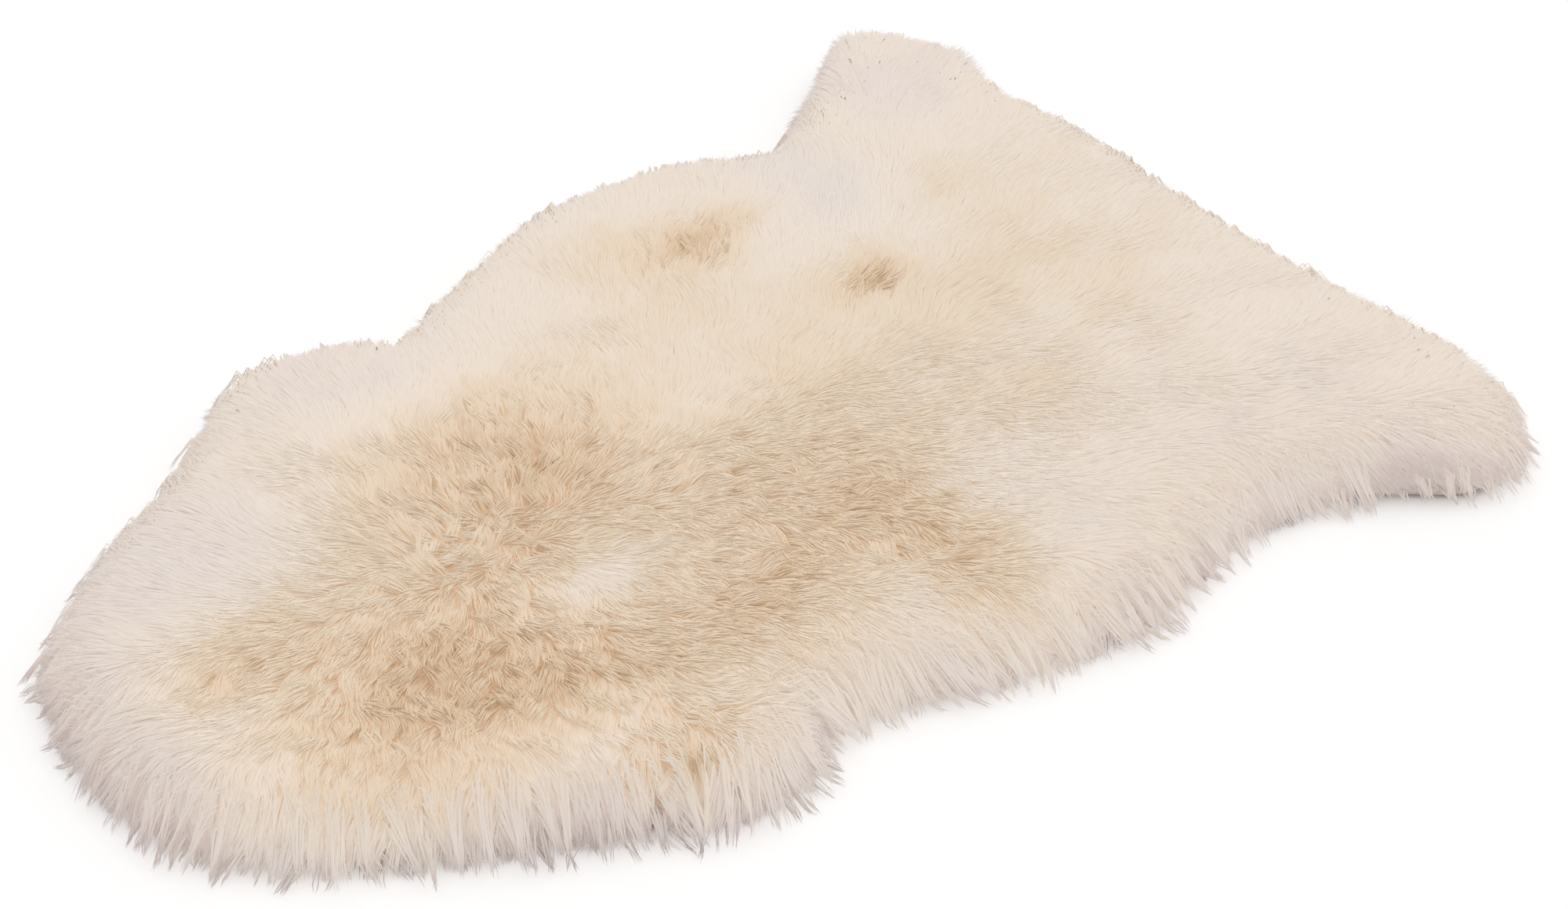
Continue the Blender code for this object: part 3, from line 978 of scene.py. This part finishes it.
def tube_mesh(name, line, width, out, warmth, tip_warmth):
    """Slim closed tubes as one mesh. Each runs through four places: a root, two rings of three, and a tip.

    line is an array of tube by place by XYZ. The rings lie square to the line from root to tip, each with a
    left corner, a right one and a ridge. Faces are shaded partly the way the fleece faces.
    """
    count = len(line)
    axis = unit(line[:, 3] - line[:, 0])
    side = unit(np.cross(axis, out))
    spokes = np.stack([-side, side, WISP_RIDGE * np.cross(side, axis)], axis=1)
    points = np.empty((count, 8, 3))
    points[:, 0] = line[:, 0]
    points[:, 1:4] = line[:, 1, None] + width[:, None, None] * spokes
    points[:, 4:7] = line[:, 2, None] + WISP_TAPER * width[:, None, None] * spokes
    points[:, 7] = line[:, 3]
    points[:, :, 2] = np.maximum(points[:, :, 2], FLOOR_GAP)
    points = points.reshape(-1, 3)
    root_faces = [[0, 1, 2], [0, 2, 3], [0, 3, 1]]
    tip_faces = [[7, 5, 4], [7, 6, 5], [7, 4, 6]]
    sides = []
    for a, b in ((1, 2), (2, 3), (3, 1)):
        sides += [[a, a + 3, b + 3], [a, b + 3, b]]
    pattern = np.array(root_faces + sides + tip_faces)
    faces = (np.arange(count)[:, None, None] * 8 + pattern).reshape(-1, 3)
    mesh = bpy.data.meshes.new(name)
    fill_mesh(mesh, points, faces)

    facing = facing_of(points, faces)
    out = np.repeat(out, len(pattern), axis=0)
    upper = np.clip((facing * out).sum(axis=1, keepdims=True), 0, 1)
    shaded = unit(facing + (UNDER_SOFTNESS + UPPER_TURN * upper) * out)
    mesh.normals_split_custom_set(np.repeat(shaded, 3, axis=0))

    share = np.repeat([0.0, *(bend.ahead for bend in WISP_BENDS)], [1, 3, 3, 1])
    across = warmth[:, None] + (tip_warmth - warmth)[:, None] * share**2
    strip = MAP_STRIP * np.array([0, -1, 1, 0.3, -1, 1, 0.3, 0])
    across = np.clip(across, MAP_STRIP, 1 - MAP_STRIP) + strip
    upward = np.broadcast_to(WISP_FOOT + (MAP_TOP - WISP_FOOT) * share, (count, 8))
    add_map(mesh, np.stack([across, upward], axis=-1).reshape(-1, 2)[faces.ravel()])
    return mesh


wisp_draw = np.random.default_rng(91)
place, out = scattered(mat_mesh, WISPS * WISP_SPARES, wisp_draw)
far_out = read_map(inset_map, place) < WISP_FROM * wisp_draw.uniform(*WISP_FROM_SPREAD, len(place))
place, out = place[far_out], out[far_out]
chosen = np.sort(wisp_draw.permutation(len(place))[:WISPS])
place, out = place[chosen], out[chosen]
line, warmth, tip_warmth = grown_wisps(place, out, wisp_draw)
width = WISP_WIDTH * wisp_draw.uniform(*WIDTH_SPREAD, WISPS)
wisp_mesh = tube_mesh("wisps", line, width, lifted(out, place, 1.0), warmth, tip_warmth)
wisps = new_piece(wisp_mesh, "wool", fine_wool)
wisps.visible_shadow = False


# ------------------------------------------------------------------------------
# The studio: a pale floor and plain soft light from all round, with a wide soft skylight overhead.

FLOOR_SIZE = 40.0
FLOOR_DEPTH = 0.0002  # how far it lies under the skin, to share no plane with it
FLOOR_COLOUR = (0.99, 0.99, 0.99)
SKY_STRENGTH = 0.54
SKYLIGHT_FROM = Vector((0.16, -0.03, 1.0))
SKYLIGHT_STRENGTH = 1.53
SKYLIGHT_SPREAD = math.radians(80)  # how wide the skylight looks from the floor

floor_mesh = bpy.data.meshes.new("floor")
half = FLOOR_SIZE / 2
fill_mesh(
    floor_mesh,
    np.array([(-half, -half, 0.0), (half, -half, 0.0), (half, half, 0.0), (-half, half, 0.0)]),
    np.array([[0, 1, 2, 3]]),
)
floor_material, _, floor_shader = new_material("pale floor", roughness=0.9)
floor_shader.inputs["Base Color"].default_value = (*FLOOR_COLOUR, 1.0)
floor_shader.inputs["Specular IOR Level"].default_value = 0.0
floor_mesh.materials.append(floor_material)
floor = bpy.data.objects.new("floor", floor_mesh)
floor.location.z = -FLOOR_DEPTH
bpy.context.scene.collection.objects.link(floor)

world = bpy.data.worlds.new("studio")
world.use_nodes = True
sky = world.node_tree.nodes["Background"]
sky.inputs["Color"].default_value = (1.0, 1.0, 1.0, 1.0)
sky.inputs["Strength"].default_value = SKY_STRENGTH
bpy.context.scene.world = world

skylight_data = bpy.data.lights.new("skylight", "SUN")
skylight_data.energy = SKYLIGHT_STRENGTH
skylight_data.angle = SKYLIGHT_SPREAD
skylight = bpy.data.objects.new("skylight", skylight_data)
skylight.rotation_mode = "QUATERNION"
skylight.rotation_quaternion = (-SKYLIGHT_FROM).to_track_quat("-Z", "Y")
bpy.context.scene.collection.objects.link(skylight)

bpy.context.scene.view_settings.view_transform = "Standard"
